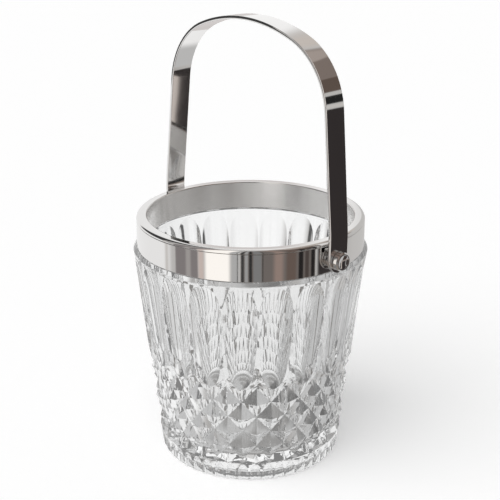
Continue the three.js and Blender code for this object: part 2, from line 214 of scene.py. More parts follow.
print("depth in the middle of a flute, at its widest:", float(flute_depth(0.0, FLUTE_WIDEST)), "mm")

# %% [markdown]
# A cell is half a repeat: from the middle of a flute, side 0, to the ridge between two flutes,
# side 1. 42 cells go round the glass, each the mirror image of the last. Inside a cell the columns
# bunch up at the edge of the cut, where the glass turns most, and at both ends. The foot's arches
# are set out by themselves. A ring has 672 columns: 16 in each cell, or 14 in each arch. Every ring
# has as many, so that neighbours join without gaps.

# %% Columns that follow the cuts
IN_CUT, BESIDE_CUT, BESIDE_ARCH = 12, 4, 2
COLUMNS = IN_CUT + BESIDE_CUT
ARCH_COLUMNS = CELLS * COLUMNS // ARCHES
ROLLED_BACK = 2


def ease(count):
    """Shares from 0 to 1 that lie closer together at both ends: (1 - cos(pi i / count)) / 2."""
    return 0.5 - 0.5 * np.cos(np.pi * np.arange(count + 1) / count)


def spread_columns(edge):
    """Shares 0 to 1 in one row: eased from 0 to the edge of the cut, then eased on to 1."""
    inner = edge * ease(IN_CUT)
    outer = edge + (1 - edge) * ease(BESIDE_CUT)
    return np.concatenate([inner, outer[1:]])


def flute_edge(height):
    """Where a flute meets the cone or the notch above a crossing: both meet where a quadratic is zero."""
    width, end = flute_shape(height)
    plain = width * math.sqrt(max(0.0, 1 - float(end)))
    start = (height - TOP_ROW) / RUN_OUT
    if start >= plain:
        return min(plain, 1.0)
    a = FLUTE_DEPTH / width ** 2
    b, c = DIAMOND_DEPTH, -(FLUTE_DEPTH * (1 - float(end)) + DIAMOND_DEPTH * start)
    return min((-b + math.sqrt(b * b - 4 * a * c)) / (2 * a), 1.0)


def arch_edge(height):
    """Where an arch meets the foot band, as a share of half an arch."""
    lost = float(foot_side(height) - foot_band(height)) / ARCH_DEPTH
    return ARCH_WIDTH * math.sqrt(max(0.0, 1 - (height / ARCH_HEIGHT) ** ARCH_POWER - lost))


def chord_radius(side, start_radius, stop_radius):
    """Radius on the straight line between two corners of a cell, half a pitch apart."""
    turn = side * HALF_PITCH
    near, far = np.sin(turn), np.sin(HALF_PITCH - turn)
    return start_radius * stop_radius * math.sin(HALF_PITCH) / (start_radius * near + stop_radius * far)


print("a ring has", CELLS * COLUMNS, "columns. The flute's edge at its widest:", flute_edge(FLUTE_WIDEST))


# %% One row of the outside
def ring_points(radius, angle, height):
    """A ring of points: x = r cos t, y = r sin t, at one height."""
    points = [radius * np.cos(angle), radius * np.sin(angle), np.full(angle.shape, height)]
    return np.stack(points, -1).reshape(-1, 3)


def row_points(sides, radii, height):
    """A whole ring from the shares and radii of one cell, mirrored from cell to cell."""
    forward = np.arange(CELLS) % 2 == 1
    side = np.where(forward[:, None], sides[None, :-1], sides[::-1][None, :-1])
    radius = np.where(forward[:, None], radii[None, :-1], radii[::-1][None, :-1])
    share = np.where(forward[:, None], side, 1 - side)
    angle = PATTERN_TURN + (np.arange(CELLS)[:, None] + share) * HALF_PITCH
    return ring_points(radius, angle, height)


def plain_row(radius, height):
    """A circle, with its columns at even steps."""
    sides = np.linspace(0, 1, COLUMNS + 1)
    return row_points(sides, np.full(COLUMNS + 1, radius), height)


def foot_row(height):
    """A ring of arches: foot band less arch. It is rolled back to start where the rings above it do."""
    edge = arch_edge(height)
    beside = np.arange(1, BESIDE_ARCH + 1) / BESIDE_ARCH
    reach = np.concatenate([edge * ease(ARCH_COLUMNS // 2 - BESIDE_ARCH), edge + (1 - edge) * beside])
    lost = foot_side(height) - foot_band(height)
    radius = foot_band(height) - np.clip(arch_depth(reach, height) - lost, 0, None)
    side = np.concatenate([-reach[::-1], reach[1:-1]])
    angle = ARCH_TURN + (2 * np.arange(ARCHES)[:, None] + side) * HALF_ARCH
    ring = ring_points(np.concatenate([radius[::-1], radius[1:-1]]), angle, height)
    return np.roll(ring, -ROLLED_BACK, axis=0)


def flute_row(height):
    """Cone less the deeper of flute and notch. Just over the crossings it bends to the facets' chords."""
    sides = spread_columns(flute_edge(height))
    depth = soft_max(flute_depth(sides, height), notch_depth(sides, height))
    depth = soft_max(depth, np.zeros_like(depth)) - EDGE_SOFTNESS / 2
    fade = max(0.0, 1 - (height - TOP_ROW) / RUN_OUT)
    crest, crossing = cone(TOP_ROW), cone(TOP_ROW) - DIAMOND_DEPTH
    flat = crest - DIAMOND_DEPTH * sides - chord_radius(sides, crest, crossing)
    return row_points(sides, cone(height) - np.clip(depth, 0, None) - fade * flat, height)


print("one flute ring:", flute_row(FLUTE_WIDEST).shape, "one foot ring:", foot_row(ARCH_HEIGHT).shape)

# %% [markdown]
# ## The diamonds
# Two sets of slanting grooves cross, and leave pyramids with four flat faces. A curved grid would
# round those faces. So each row of the lattice is straight from corner to corner, and between two
# rows the faces fan out from the crossings, which keeps every facet truly flat.


# %% Rows of the diamonds
def lattice_corner(row):
    """Radii of a row of the lattice at side 0 and side 1: a point on the cone, or a crossing below it."""
    radius = cone(LOWEST_HEIGHT + row * ROW_STEP)
    return (radius - DIAMOND_DEPTH, radius) if row % 2 == 0 else (radius, radius - DIAMOND_DEPTH)


def lattice_row(row):
    """A row of the lattice: straight chords between its points and its crossings."""
    sides = np.linspace(0, 1, COLUMNS + 1)
    return row_points(sides, chord_radius(sides, *lattice_corner(row)), LOWEST_HEIGHT + row * ROW_STEP)


def fans(lower, upper, row):
    """A band of facets. Each cell has two flat faces that meet in the groove between its crossings:
    one fans from the lower row to the upper crossing, the other from the upper row to the lower one."""
    cell, step = np.arange(CELLS)[:, None], np.arange(COLUMNS)
    total = CELLS * COLUMNS
    a = cell * COLUMNS + step
    b = (a + 1) % total
    start, stop = cell * COLUMNS, ((cell + 1) % CELLS) * COLUMNS
    low_is_first = (row % 2 == 1) == (cell % 2 == 0)
    low = np.where(low_is_first, start, stop)
    high = np.where(low_is_first, stop, start)
    below = np.stack([lower + a, lower + b, upper + high + 0 * a], -1)
    above = np.stack([upper + b, upper + a, lower + low + 0 * a], -1)
    return np.concatenate([below.reshape(-1, 3), above.reshape(-1, 3)])


print("one band of diamonds:", len(fans(0, CELLS * COLUMNS, 0)), "triangles")

# %% Heights of the rows, closer together where the cuts turn most
FOOT_CORNER = (20, 38, 54, 68, 80, 90)
ARCH_ROWS = (6.5, 9, 11.5, 13.5, 15, 16, 16.8, 17.3, ARCH_HEIGHT)
FLUTE_LOW_SHARES = (0.999, 0.995, 0.985, 0.97, 0.95, 0.925, 0.9, 0.87, 0.83)
FLUTE_MIDDLE = (101.8, TOP_ROW + RUN_OUT, 105.5, 109, 115, 123, 134, FLUTE_WIDEST, 156, 164, 170)
FLUTE_HIGH_SHARES = (0.64, 0.71, 0.77, 0.82, 0.86, 0.9, 0.93, 0.955, 0.975, 0.988, 0.996, 0.9995)
INNER_WALL, INNER_FLOOR_RING = (146.0, 80.0), 30
print("rows with arches:", len(FOOT_CORNER) + len(ARCH_ROWS) + 1)


# %% The glass body
def bottom_rows():
    """From the middle of the underside over the stand ring, round the foot's corner and up the arches."""
    corner = FOOT_ROUND * (1 - np.cos(np.radians(FOOT_CORNER)))
    lower = [foot_row(h) for h in corner]
    arch = [foot_row(h) for h in ARCH_ROWS]
    under = [(0, HOLLOW_DEPTH), (HOLLOW_RADIUS, HOLLOW_DEPTH), (STAND_RADIUS, 0)]
    flat = [plain_row(radius, height) for radius, height in under]
    return flat + [foot_row(0.0)] + lower + arch + [plain_row(FOOT_TOP_RADIUS, FOOT_TOP)]


def flute_rows():
    """Shares count from the widest height: down to the flute's point, and up to its head."""
    low = FLUTE_WIDEST - (FLUTE_WIDEST - FLUTE_BOTTOM) * np.array(FLUTE_LOW_SHARES)
    high = FLUTE_WIDEST + (FLUTE_TOP - FLUTE_WIDEST) * np.array(FLUTE_HIGH_SHARES)
    heights = np.sort(np.concatenate([low, FLUTE_MIDDLE, high]))
    return [flute_row(h) for h in heights]


def top_rows():
    """Shoulder, ledge and neck, then down the mouth's wall and round the bowl to the floor's middle."""
    hub = (SHOULDER_RADIUS - SHOULDER_ROUND, SHOULDER_HEIGHT - SHOULDER_ROUND)
    corner = arc(hub, SHOULDER_ROUND, 0, 60, 4)
    floor_hub = (FLOOR_WALL - FLOOR_CORNER, FLOOR_HEIGHT + FLOOR_CORNER)
    bowl = arc(floor_hub, FLOOR_CORNER, 0, -90, 10)
    neck = [(LEDGE_RADIUS, SEAT_HEIGHT), (NECK_RADIUS, SEAT_HEIGHT), (NECK_RADIUS, NECK_TOP)]
    mouth = [(MOUTH_RADIUS, NECK_TOP), (MOUTH_RADIUS, MOUTH_CONE)]
    wall = [(np.interp(h, [floor_hub[1], MOUTH_CONE], [FLOOR_WALL, MOUTH_RADIUS]), h) for h in INNER_WALL]
    floor = [(INNER_FLOOR_RING, FLOOR_HEIGHT), (0, FLOOR_HEIGHT)]
    profile = outline((cone(FLUTE_TOP), FLUTE_TOP), corner, neck, mouth, wall, bowl, floor)
    return [plain_row(radius, height) for radius, height in hold_flats(profile)]


def glass_body():
    """All rows, from the middle of the underside up the outside and down the inside to the floor."""
    bottom, lattice = bottom_rows(), [lattice_row(row) for row in range(ROWS + 1)]
    rows = bottom + lattice + flute_rows() + top_rows()
    ring = CELLS * COLUMNS
    points = np.concatenate(rows)
    first, last = len(bottom), len(bottom) + ROWS
    faces = grid_faces(len(rows), ring)
    band = np.minimum.reduce(faces, axis=1) // ring
    kept = faces[(band < first) | (band >= last)]
    facets = [fans((first + row) * ring, (first + row + 1) * ring, row) for row in range(ROWS)]
    return weld(points * MM, np.concatenate([kept, *facets]))


glass = add_mesh("cut_glass_vessel", *glass_body(), sharp_degrees=17)
print("glass:", len(glass.data.vertices), "points,", len(glass.data.polygons), "triangles")

# %% [markdown]
# ## The collar
# Two turned pieces: a straight band, and a rim that rolls over the top and goes down inside the
# mouth. A tube with a Bevel modifier would give every edge the same round. Turned profiles give the
# outer corner its wide round and every other edge a small one that catches the light.

# %% Band and rim, in millimetres
COLLAR_RADIUS, BAND_THICKNESS, SEAM_HEIGHT, COLLAR_TOP = 100.0, 1.4, 218.4, 222.0
RIM_OUTER_ROUND, RIM_INNER_ROUND, RIM_THICKNESS, RIM_SETBACK = 3.2, 1.2, 1.4, 0.1
LINER_RADIUS, LINER_THICKNESS, LINER_BOTTOM = 90.7, 1.0, 196.5
GAP, EDGE = 0.3, 0.35
TURN_STEPS = 288

band_low, band_in = SEAT_HEIGHT + GAP, COLLAR_RADIUS - BAND_THICKNESS
band_profile = outline(
    (band_in, band_low),
    arc((COLLAR_RADIUS - EDGE, band_low + EDGE), EDGE, -90, 0, 4),
    arc((COLLAR_RADIUS - EDGE, SEAM_HEIGHT - EDGE), EDGE, 0, 90, 4),
    (band_in, SEAM_HEIGHT), (band_in, band_low))
rim_low = SEAM_HEIGHT + GAP
rim_profile = outline(
    (band_in, rim_low), (COLLAR_RADIUS - RIM_SETBACK, rim_low),
    arc((COLLAR_RADIUS - RIM_OUTER_ROUND, COLLAR_TOP - RIM_OUTER_ROUND), RIM_OUTER_ROUND, 2, 90, 12),
    arc((LINER_RADIUS + RIM_INNER_ROUND, COLLAR_TOP - RIM_INNER_ROUND), RIM_INNER_ROUND, 90, 180, 8),
    arc((LINER_RADIUS + EDGE, LINER_BOTTOM + EDGE), EDGE, 180, 270, 3),
    (LINER_RADIUS + LINER_THICKNESS, LINER_BOTTOM),
    (LINER_RADIUS + LINER_THICKNESS, COLLAR_TOP - RIM_THICKNESS),
    (band_in, COLLAR_TOP - RIM_THICKNESS), (band_in, rim_low))


def turned_piece(name, profile):
    """A profile with held flats, turned round the bucket's axis."""
    points, faces = lathe(hold_flats(profile), TURN_STEPS)
    return add_mesh(name, *weld(points * MM, faces))


band = turned_piece("polished_collar_band", band_profile)
rim = turned_piece("polished_collar_rim", rim_profile)
print("collar:", len(band.data.polygons) + len(rim.data.polygons), "triangles")

# %% [markdown]
# ## The bail
# One flat strip. Its outer face runs up from each pivot, leans in, and arches over. A curve with a
# bevel object would sweep it as well, but can't give it its round ends. Here the section, a thin
# rectangle with slightly swelled edges, is carried along the path as an array. Below each pivot it
# narrows as a half circle does, which makes the ends round.

# %% The bail's path and section, in millimetres
PIVOT_HEIGHT, REACH, STRIP, WIDTH = 206.0, 107.0, 3.0, 20.4
TAB_HEIGHT, TAB_BEND, LEG_LEAN, LEG_LENGTH = 16.0, 120.0, 5.5, 94.0
ARCH_SHOULDER, ARCH_CROWN, REST_LEAN = 65.0, 155.0, math.radians(0.8)
EDGE_SWELL, FLAT_SHARES, BAIL_SHARP = 0.5, (-0.985, -0.5, 0, 0.5, 0.985), 40
TAB_STEPS, BEND_STEPS, LEG_STEPS, SHOULDER_STEPS, CROWN_STEPS, SWELL_STEPS = 12, 6, 6, 36, 14, 16


def bail_half_path():
    """(x, height) of the outer face from below the pivot up to the crown, by straights and arcs."""
    lean = math.radians(LEG_LEAN)
    end = WIDTH / 2 * np.cos(np.linspace(0, np.pi / 2, TAB_STEPS + 1))
    tab = np.stack([np.full(TAB_STEPS + 1, REACH), PIVOT_HEIGHT - end], -1)
    bend = arc((REACH - TAB_BEND, PIVOT_HEIGHT + TAB_HEIGHT), TAB_BEND, 0, LEG_LEAN, BEND_STEPS)
    top = bend[-1] + LEG_LENGTH * np.array([-math.sin(lean), math.cos(lean)])
    leg = bend[-1] + (top - bend[-1]) * np.linspace(0, 1, LEG_STEPS + 1)[1:-1, None]
    hub = top - ARCH_SHOULDER * np.array([math.cos(lean), math.sin(lean)])
    half = math.asin(hub[0] / (ARCH_CROWN - ARCH_SHOULDER))
    crown_hub = (0, hub[1] - (ARCH_CROWN - ARCH_SHOULDER) * math.cos(half))
    shoulder = arc(hub, ARCH_SHOULDER, LEG_LEAN, 90 - math.degrees(half), SHOULDER_STEPS)
    crown = arc(crown_hub, ARCH_CROWN, 90 - math.degrees(half), 90, CROWN_STEPS)[1:]
    return outline(tab, bend, leg, shoulder, crown)


def strip_section():
    """(depth, side) round the section: two flat faces, and edges that swell as half an ellipse."""
    turn = np.radians(np.linspace(0, 180, SWELL_STEPS + 1))
    edge = np.stack([STRIP / 2 * (1 - np.cos(turn)), WIDTH / 2 - EDGE_SWELL * (1 - np.sin(turn))], -1)
    flat = np.array(FLAT_SHARES) * (WIDTH / 2 - EDGE_SWELL)
    outer, inner = np.stack([0 * flat, flat], -1), np.stack([STRIP + 0 * flat, -flat], -1)
    return outline(outer, edge, inner, np.stack([STRIP - edge[:, 0], -edge[:, 1]], -1))


def bail_surface():
    """The section carried along the path: point = path - depth x facing, with side across it. The whole
    is then turned about the pivot line by its lean at rest."""
    half = bail_half_path()
    path = np.concatenate([half, half[-2::-1] * (-1, 1)])
    along = np.gradient(path, axis=0)
    along /= np.linalg.norm(along, axis=1)[:, None]
    facing = np.stack([along[:, 1], -along[:, 0]], -1)
    below = np.clip((PIVOT_HEIGHT - path[:, 1]) / (WIDTH / 2), 0, 1)
    facing[below > 0] = np.stack([np.sign(path[below > 0, 0]), 0 * path[below > 0, 0]], -1)
    narrow = np.sqrt(np.clip(1 - below ** 2, 0, 1))
    depth, side = strip_section().T
    x = path[:, :1] - depth * facing[:, :1]
    z = path[:, 1:] - depth * facing[:, 1:]
    y, rise = side * narrow[:, None], z - PIVOT_HEIGHT
    sine, cosine = math.sin(REST_LEAN), math.cos(REST_LEAN)
    leant = np.stack([x, y * cosine + rise * sine, PIVOT_HEIGHT + rise * cosine - y * sine], -1)
    return weld(leant.reshape(-1, 3) * MM, grid_faces(len(path), len(depth)))


bail = add_mesh("flat_bail", *bail_surface(), sharp_degrees=BAIL_SHARP)
print("bail:", len(bail.data.polygons), "triangles")

# %% [markdown]
# ## Knobs and bosses
# The knobs hold the bail on its pins, and the bosses keep it clear of the band. Both are turned
# about the line through the pivots, from profiles as the collar is, so the knob's bevel, its narrow
# ring and its dished face are each a few points. The boss's back is hollowed to the band's curve by
# moving its points there, which leaves a cleaner edge than a Boolean cut.

# %% Turned about the pivot line, in millimetres
KNOB_RADIUS, KNOB_LENGTH, KNOB_BEVEL, KNOB_RING, DISH, WEB = 8.0, 5.4, 1.2, 0.9, 1.1, 1.2
KNOB_BACK_ROUND, BEVEL_EASE, BEVEL_RUN, DISH_EASE, DISH_RUN = 0.3, 0.12, 0.16, 0.1, 0.15
BOSS_RADIUS, BOSS_CHAMFER, PIN_RADIUS, ON_FACE = 7.6, 0.6, 2.4, 0.01
PIVOT_STEPS, DISH_STEPS, PIVOT_SHARP = 96, 8, 25
SIDES = {"right": 1, "left": -1}


def about_pivot(profile, side):
    """A profile of (radius, distance along X) turned round the pivot line, on the right or the left."""
    points, faces = lathe(hold_flats(profile), PIVOT_STEPS)
    x, y, z = points.T
    return np.stack([side * z, side * y, PIVOT_HEIGHT - x], -1), faces


def knob(name, side):
    """Bore, back, rounded edge, bevel and ring, then a dish whose depth is DISH x (1 - share^2)."""
    base, face = REACH + GAP, REACH + GAP + KNOB_LENGTH
    ring = KNOB_RADIUS - KNOB_BEVEL
    dish = ring - KNOB_RING
    share = np.linspace(1, 0, DISH_STEPS + 1)[1:]
    bore, back = PIN_RADIUS + GAP, KNOB_RADIUS - KNOB_BACK_ROUND
    profile = outline(
        (0, face - DISH - WEB), (bore, face - DISH - WEB), (bore, base), (back, base),
        arc((back, base + KNOB_BACK_ROUND), KNOB_BACK_ROUND, -90, 0, 3), (KNOB_RADIUS, face - KNOB_BEVEL),
        (KNOB_RADIUS - BEVEL_EASE, face - KNOB_BEVEL + BEVEL_RUN),
        (ring + BEVEL_RUN, face - BEVEL_EASE), (ring, face),
        (dish + DISH_RUN, face), (dish, face - DISH_EASE),
        np.stack([share * dish, face - DISH * (1 - share ** 2)], -1))
    points, faces = about_pivot(profile, side)
    return add_mesh(name, *weld(points * MM, faces), sharp_degrees=PIVOT_SHARP)


def boss(name, side):
    """A short tube. Each point of its back goes out to the band: x = sqrt(radius^2 - y^2)."""
    outer, inner, bore = REACH - STRIP - GAP, COLLAR_RADIUS, PIN_RADIUS + GAP
    corner = arc((BOSS_RADIUS - BOSS_CHAMFER, outer - BOSS_CHAMFER), BOSS_CHAMFER, 0, 90, 4)
    bore_edge = (bore, inner)
    back = [(BOSS_RADIUS / 2, inner), (BOSS_RADIUS, inner)]
    profile = outline(bore_edge, back, corner, (bore, outer), bore_edge)
    points, faces = about_pivot(profile, side)
    moved = np.abs(points[:, 0]) < inner + ON_FACE
    points[moved, 0] = side * np.sqrt((COLLAR_RADIUS + GAP) ** 2 - points[moved, 1] ** 2)
    return add_mesh(name, *weld(points * MM, faces), sharp_degrees=PIVOT_SHARP)


knobs = {side: knob(f"turned_knob_{side}", sign) for side, sign in SIDES.items()}
bosses = {side: boss(f"turned_boss_{side}", sign) for side, sign in SIDES.items()}
print("knobs and bosses:", [len(p.data.polygons) for p in (*knobs.values(), *bosses.values())])

# %% [markdown]
# ## Node trees as expressions
# A material is a tree of nodes. Placed one by one, its sums are hard to read. Here a wire is one
# output of a node, and sums and products of wires and numbers add the Math nodes that work them
# out, so that a mask is written as 1 - mask. One method adds any other node.


# %% Colours
def rgba(colour):
    """The four numbers of a socket, from three or from the one number of a grey."""
    return (*colour, 1) if isinstance(colour, tuple) else (colour, colour, colour, 1)


print("a middle grey:", rgba(0.5))


# %% Wires
class Wire:
    """One output in a node tree, on which + - * and ** add Math nodes."""

    def __init__(self, finish, socket):
        self.finish, self.socket = finish, socket

    def maths(self, operation, *values):
        """A Math node on these values, which are wires or numbers."""
        return self.finish.node("ShaderNodeMath", {"operation": operation}, list(values))

    def __add__(self, other):
        return self.maths("ADD", self, other)

    def __sub__(self, other):
        return self.maths("SUBTRACT", self, other)

    def __rsub__(self, other):
        return self.maths("SUBTRACT", other, self)

    def __mul__(self, other):
        return self.maths("MULTIPLY", self, other)

    def __pow__(self, other):
        return self.maths("POWER", self, other)

    __radd__, __rmul__ = __add__, __mul__

    def clamp(self):
        """Held between 0 and 1."""
        return self.finish.node("ShaderNodeClamp", {}, [self])

    def between(self, low, high):
        """0 below low, 1 above high, and smooth from one to the other."""
        settings = {"interpolation_type": "SMOOTHSTEP"}
        values = {"Value": self, "From Min": low, "From Max": high}
        return self.finish.node("ShaderNodeMapRange", settings, values)


# %% Finishes
class Finish:
    """A material or world, and the one method that adds a node to it."""

    def __init__(self, owner):
        self.owner = owner
        owner.use_nodes = True
        self.tree = owner.node_tree
        self.tree.nodes.clear()

    def node(self, kind, settings, sockets, output=0):
        """Adds a node: its settings first, then the value or link of each socket. Gives one output."""
        made = self.tree.nodes.new(kind)
        for name, value in settings.items():
            setattr(made, name, value)
        pairs = enumerate(sockets) if isinstance(sockets, list) else sockets.items()
        for name, value in pairs:
            if isinstance(value, Wire):
                self.tree.links.new(value.socket, made.inputs[name])
            else:
                made.inputs[name].default_value = value
        return Wire(self, made.outputs[output])

    def spot(self):
        """The place on the piece, in metres."""
        return self.node("ShaderNodeTexCoord", {}, {}, "Object")

    def ray(self, kind):
        """What Light Path says of the ray, such as its Glossy Depth."""
        return self.node("ShaderNodeLightPath", {}, {}, kind)

    def noise(self, place, scale, detail):
        """Soft random tones: about so many spots to a metre, with finer layers by detail."""
        return self.node("ShaderNodeTexNoise", {}, {"Vector": place, "Scale": scale, "Detail": detail})

    def stretched(self, place, scale):
        """The place, scaled by its own number on each axis."""
        return self.node("ShaderNodeMapping", {}, {"Vector": place, "Scale": scale})

    def parts(self, vector):
        """The x, y and z of a vector."""
        made = self.node("ShaderNodeSeparateXYZ", {}, [vector]).socket.node
        return [Wire(self, output) for output in made.outputs]

    def mix_colour(self, share, first, second):
        """The first colour where share is 0 and the second where it is 1."""
        return self.node("ShaderNodeMix", {"data_type": "RGBA"}, {0: share, 6: first, 7: second}, 2)

    def bump(self, height, strength, distance):
        """A Normal that tilts with the slope of the height. Distance is in metres."""
        values = {"Height": height, "Strength": strength, "Distance": distance}
        return self.node("ShaderNodeBump", {}, values)

    def end(self, surface):
        """Links the surface to the output and gives back the material or world."""
        of_world = isinstance(self.owner, bpy.types.World)
        out = self.tree.nodes.new("ShaderNodeOutputWorld" if of_world else "ShaderNodeOutputMaterial")
        self.tree.links.new(surface.socket, out.inputs["Surface"])
        return self.owner


# %% [markdown]
# ## Polished metal
# The collar and bail are plated and polished. A mirror that good shows only what stands round it.
# One number for its roughness would look like a drawing of metal, and strong scratches would look
# like bare steel. So its own detail is there but faint: wide soft waves left by the polishing wheel,
# a cloudy film, and fine level wiping marks, all of them weaker in colour than in gloss. The band
# inside the mouth is duller, because no wheel reaches it well.


# %% Polished plate
PLATE_LIGHT, FILM_SHADE = (0.86, 0.85, 0.84), 0.955
FILM_SCALE, WAVE_SCALE, WIPE_SCALE = 38.0, 26.0, (40, 40, 900)
PLATE_ROUGH, FILM_ROUGH, WIPE_ROUGH, LINER_SATIN, LINER_EDGE = 0.028, 0.035, 0.02, 0.16, 0.5
WIPE_HEIGHT, PLATE_BUMP, BUMP_REACH = 0.01, 0.06, 0.001


def polished_plate(name, satin):
    """A mirror with faint film, wiping marks and waves. What lies inside the mouth gets satin added."""
    finish = Finish(bpy.data.materials.new(name))
    spot = finish.spot()
    film = finish.noise(spot, scale=FILM_SCALE, detail=3.0)
    wipes = finish.noise(finish.stretched(spot, WIPE_SCALE), scale=1.0, detail=2.0)
    waves = finish.noise(spot, scale=WAVE_SCALE, detail=1.0)
    dark = tuple(part * FILM_SHADE for part in PLATE_LIGHT)
    x, y = finish.parts(spot)[:2]
    inside = 1 - ((x * x + y * y) ** 0.5).between(LINER_RADIUS * MM, (LINER_RADIUS + LINER_EDGE) * MM)
    values = {
        "Base Color": finish.mix_colour(film, rgba(dark), rgba(PLATE_LIGHT)), "Metallic": 1.0,
        "Roughness": PLATE_ROUGH + film * FILM_ROUGH + wipes * WIPE_ROUGH + inside * satin,
        "Normal": finish.bump(waves + wipes * WIPE_HEIGHT, PLATE_BUMP, BUMP_REACH)}
    return finish.end(finish.node("ShaderNodeBsdfPrincipled", {}, values))


plate = polished_plate("polished_plate", 0.0)
rim_plate = polished_plate("polished_rim_plate", LINER_SATIN)
print("metals:", plate.name, rim_plate.name)

# %% [markdown]
# ## Clear glass
# Heavy crystal bends light strongly. The body is one closed surface, so a single glass shader does
# all of it, with a very faint ripple from grinding and polishing. Rays from lamps pass it as if it
# were thin, because a pale shadow is what real crystal throws. A ray that is mirrored over and over
# inside the cuts is given up in the end and would leave a black spot, so from the fourth mirroring
# on the glass glows a faint grey: painted light in place of what those rays would have brought.


# %% Crystal
CRYSTAL_LIGHT, CRYSTAL_SMEARED = rgba((0.96, 0.965, 0.965)), rgba(0.93)
CRYSTAL_IOR, SMEAR_ROUGH, SMEAR_SCALE = 1.52, 0.02, 30.0
RIPPLE_SCALE, FINE_RIPPLE_SCALE, FINE_RIPPLE, RIPPLE_BUMP = 60.0, 240.0, 0.3, 0.05
GREY_FROM, GREY_FULL, NO_LIGHT, PAINTED_GREY_GLOW = 3.0, 4.0, rgba(0), rgba(0.11)
SHADOW_TINT = rgba(0.71)


def crystal(name):
    """Clear glass to every ray but a lamp's, which it lets straight through with a little less light."""
    finish = Finish(bpy.data.materials.new(name))
    spot = finish.spot()
    fine = finish.noise(spot, scale=FINE_RIPPLE_SCALE, detail=1.0)
    ripple = finish.noise(spot, scale=RIPPLE_SCALE, detail=2.0) + fine * FINE_RIPPLE
    smear = finish.noise(spot, scale=SMEAR_SCALE, detail=3.0)
    mirrored_often = finish.ray("Glossy Depth").between(GREY_FROM, GREY_FULL)
    values = {
        "Base Color": finish.mix_colour(smear, CRYSTAL_SMEARED, CRYSTAL_LIGHT),
        # painted light: from the fourth mirroring inside the cuts the glass glows a faint grey
        "Emission Color": finish.mix_colour(mirrored_often, NO_LIGHT, PAINTED_GREY_GLOW),
        "Emission Strength": 1.0,
        "Roughness": smear * SMEAR_ROUGH, "IOR": CRYSTAL_IOR, "Transmission Weight": 1.0,
        "Normal": finish.bump(ripple, RIPPLE_BUMP, BUMP_REACH)}
    glass_shader = finish.node("ShaderNodeBsdfPrincipled", {}, values)
    clear = finish.node("ShaderNodeBsdfTransparent", {}, {"Color": SHADOW_TINT})
    shaders = [finish.ray("Is Shadow Ray"), glass_shader, clear]
    return finish.end(finish.node("ShaderNodeMixShader", {}, shaders))


clear_glass = crystal("crystal")
print("glass material:", clear_glass.name)

# %% [markdown]
# ## Cement and pins
# Cement beds the collar on the glass, and a turned pin goes through each end of the bail. Both are
# nearly hidden, so the CAD solids stay and only get a finish: a fine grain in tone, gloss and height.
# One function makes both, as a grain is what pale cement and turned steel have in common.


# %% Cement and turned steel
GRAIN_SCALE, GRAIN_DETAIL, GRAIN_ROUGH, GRAIN_BUMP, GRAIN_REACH = 900.0, 4.0, 0.15, 0.3, 0.0002


def grained(name, light, dark, rough, metallic):
    """A colour between dark and light, and a roughness over rough, both by the grain's tone."""
    finish = Finish(bpy.data.materials.new(name))
    grain = finish.noise(finish.spot(), scale=GRAIN_SCALE, detail=GRAIN_DETAIL)
    values = {
        "Base Color": finish.mix_colour(grain, rgba(dark), rgba(light)), "Metallic": metallic,
        "Roughness": rough + grain * GRAIN_ROUGH,
        "Normal": finish.bump(grain, GRAIN_BUMP, GRAIN_REACH)}
    return finish.end(finish.node("ShaderNodeBsdfPrincipled", {}, values))


cement = grained("cement", (0.84, 0.82, 0.78), (0.72, 0.70, 0.66), rough=0.75, metallic=0.0)
steel = grained("turned_steel", (0.66, 0.65, 0.64), (0.5, 0.5, 0.49), rough=0.25, metallic=1.0)
print("hidden finishes:", cement.name, steel.name)

# %% [markdown]
# ## Dressing the frame
# Each surface gets its finish and rides on the body that carries it, and the CAD nodes that it
# stands for are hidden.


# %% Dress the pieces
def dress(piece, material, body, nodes):
    """Finish, body, replaced nodes and slot of one piece."""
    piece.data.materials.append(material)
    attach(piece, body)
    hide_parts(*nodes)


dress(glass, clear_glass, "vessel", ["glass_vessel"])
dress(band, plate, "vessel", ["collar_band"])
dress(rim, rim_plate, "vessel", ["collar_rim"])
dress(bail, plate, "bail", ["bail_handle"])
for side in SIDES:
    dress(knobs[side], plate, "vessel", [f"pivot_knob_{side}"])
    dress(bosses[side], plate, "vessel", [f"pivot_boss_{side}"])
for name, material in (("bedding_ring", cement), ("pivot_pin_right", steel), ("pivot_pin_left", steel)):
    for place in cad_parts[name].material_slots:
        place.material = material
print("dressed:", [piece.name for piece in (glass, band, rim, bail, *knobs.values(), *bosses.values())])

# %% [markdown]
# ## The camera
# The bucket stands on a plain pale floor, which the camera looks down on by twenty degrees, from
# about a metre away. Such a near camera makes the foot look narrower than the collar by more than
# its taper does, so the distance is part of the likeness and isn't traded for a longer lens. The
# camera comes first, because the cards that the metal and the glass show are placed by its direction.

# %% Camera
# the picture's width, the focal length and the shift are in pixels, the sensor's width in millimetres
PICTURE, FOCAL_PIXELS, SHIFT_PIXELS, SENSOR = 500, 1133, -0.5, 36
AIM, DISTANCE, FOCAL = (0, 0, 0.1861), 1.006, FOCAL_PIXELS / PICTURE * SENSOR
ELEVATION, AZIMUTH, ROLL = math.radians(20.16), math.radians(47.7), math.radians(0.1)
front = Vector((math.sin(AZIMUTH), -math.cos(AZIMUTH), 0))
right = Vector((math.cos(AZIMUTH), math.sin(AZIMUTH), 0))
towards = front * math.cos(ELEVATION) + Vector((0, 0, math.sin(ELEVATION)))

